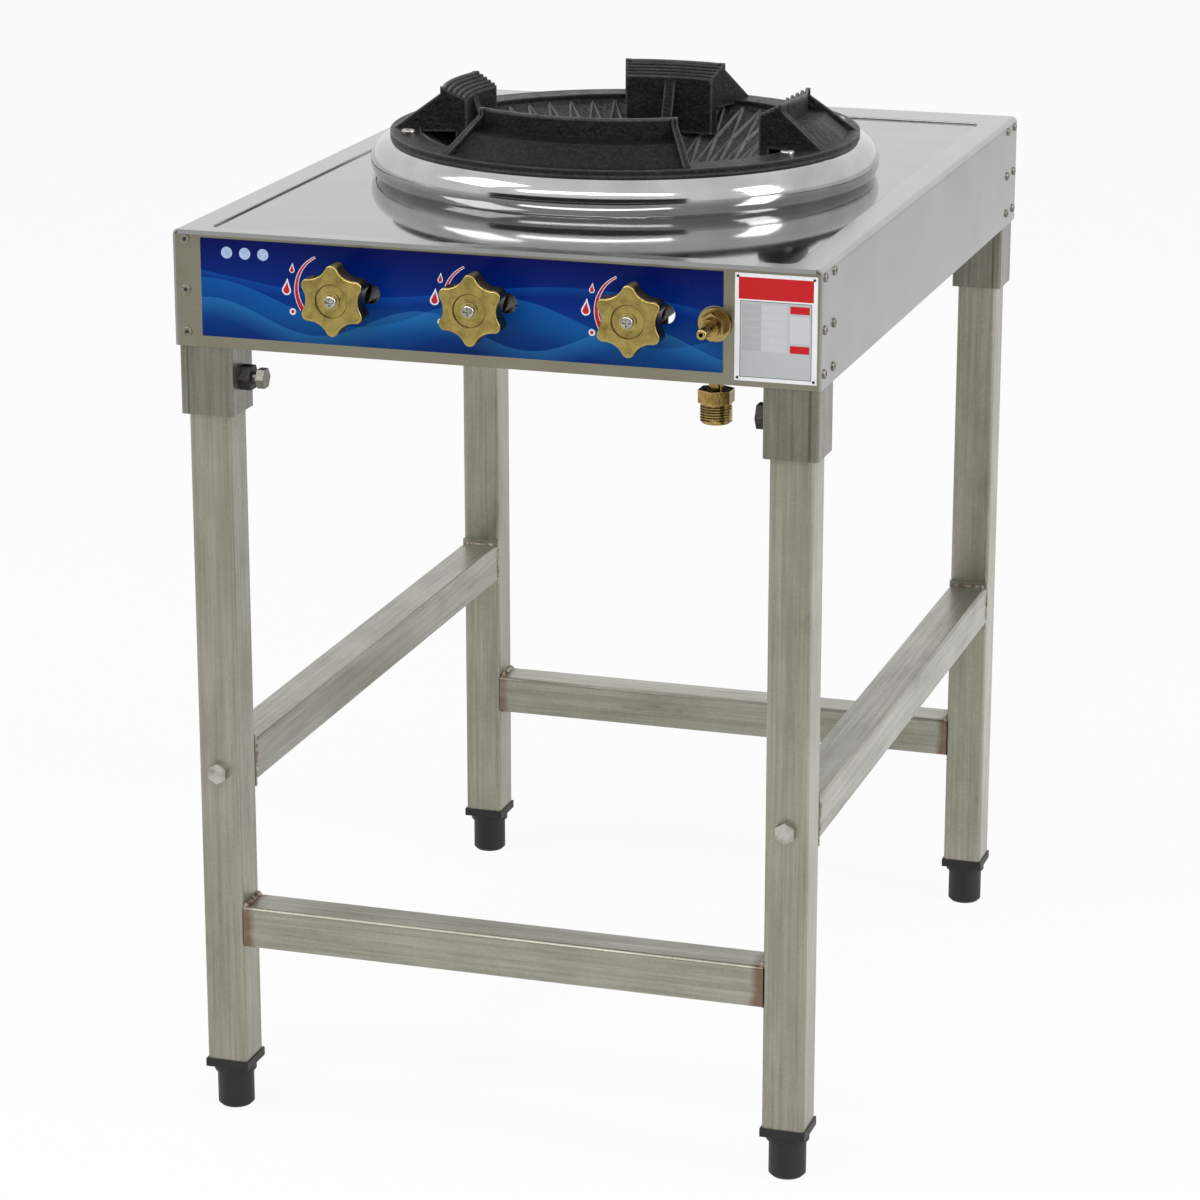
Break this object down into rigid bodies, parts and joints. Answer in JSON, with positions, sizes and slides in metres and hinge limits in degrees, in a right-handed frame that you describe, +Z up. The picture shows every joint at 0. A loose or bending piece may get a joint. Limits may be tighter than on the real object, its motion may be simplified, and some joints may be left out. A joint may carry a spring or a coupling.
{
  "type": "wok range",
  "caption": "Stand-alone gas wok range: sheet-metal casing on square tube legs, cast-iron pot support over a deep bowl burner, lobed brass control knobs on a blue front.",
  "frame": {"origin": "on the floor, at the centre of the bounding box", "axes": "+Z up, +X to the right seen from the front, +Y to the rear; knobs face -Y"},
  "size_m": [0.4524, 0.636, 0.699],
  "materials": {
    "casing_steel": "dull rolled sheet",
    "tube_steel": "mill tube",
    "blue_print": "gloss label",
    "plate_print": "gloss label",
    "dark_steel": "blackened",
    "zinc_steel": "zinc plated",
    "black_plastic": "moulded",
    "cast_iron": "black cast",
    "polished_steel": "polished",
    "brass": "cast and turned",
    "pipe_steel": "grey",
    "copper_tube": "copper"
  },
  "bodies": {
    "stand": {"base_bolts": "zinc_steel", "burner_base": "cast_iron", "burner_beams": "pipe_steel", "burner_bowl": "cast_iron", "burner_cap": "cast_iron", "burner_head": "cast_iron", "casing_cover": "casing_steel", "clamp_bolts": "zinc_steel", "clamp_nuts": "dark_steel", "clamp_set_screw": "zinc_steel", "control_fascia": "blue_print", "cross_rail_front": "tube_steel", "cross_rail_rear": "tube_steel", "deck_plate": "polished_steel", "foot_front_left": "black_plastic", "foot_front_right": "black_plastic", "foot_rear_left": "black_plastic", "foot_rear_right": "black_plastic", "front_panel": "casing_steel", "gas_inlet": "brass", "gas_manifold": "pipe_steel", "injectors": "brass", "leg_front_left": "tube_steel", "leg_front_right": "tube_steel", "leg_rear_left": "tube_steel", "leg_rear_right": "tube_steel", "leg_socket_front_left": "tube_steel", "leg_socket_front_right": "tube_steel", "leg_socket_rear_left": "tube_steel", "leg_socket_rear_right": "tube_steel", "manifold_brackets": "pipe_steel", "mixing_tube_centre": "pipe_steel", "mixing_tube_left": "pipe_steel", "panel_rivets": "dark_steel", "polished_ring": "polished_steel", "pot_support": "cast_iron", "pot_support_screws": "zinc_steel", "rating_plate": "plate_print", "rear_panel": "casing_steel", "side_rail_bolts": "zinc_steel", "side_rail_left": "tube_steel", "side_rail_nuts": "zinc_steel", "side_rail_right": "tube_steel", "side_rivets": "dark_steel", "torch_nipple": "brass", "torch_tube": "copper_tube", "valve_body_centre": "brass", "valve_body_left": "brass", "valve_body_right": "brass"},
    "knob_left": {"knob_left": "brass", "spindle_left": "polished_steel", "knob_screw_left": "polished_steel"},
    "knob_centre": {"knob_centre": "brass", "spindle_centre": "polished_steel", "knob_screw_centre": "polished_steel"},
    "knob_right": {"knob_right": "brass", "spindle_right": "polished_steel", "knob_screw_right": "polished_steel"},
    "air_shutter_left": {"air_shutter_left": "pipe_steel"},
    "air_shutter_centre": {"air_shutter_centre": "pipe_steel"}
  },
  "joints": [
    {"name": "knob_left_turn", "type": "hinge", "parent": "stand", "child": "knob_left", "pos_m": [-0.1, -0.3035, 0.6045], "axis": [0, -1, 0], "range_deg": [0, 90]},
    {"name": "knob_centre_turn", "type": "hinge", "parent": "stand", "child": "knob_centre", "pos_m": [-0.004, -0.3035, 0.6045], "axis": [0, -1, 0], "range_deg": [0, 90]},
    {"name": "knob_right_turn", "type": "hinge", "parent": "stand", "child": "knob_right", "pos_m": [0.104, -0.3035, 0.6045], "axis": [0, -1, 0], "range_deg": [0, 90]},
    {"name": "air_shutter_left_turn", "type": "hinge", "parent": "stand", "child": "air_shutter_left", "pos_m": [-0.1, -0.1955, 0.6], "axis": [0, 1, 0], "range_deg": [0, 60]},
    {"name": "air_shutter_centre_turn", "type": "hinge", "parent": "stand", "child": "air_shutter_centre", "pos_m": [-0.004, -0.1955, 0.6], "axis": [0, 1, 0], "range_deg": [0, 60]}
  ]
}
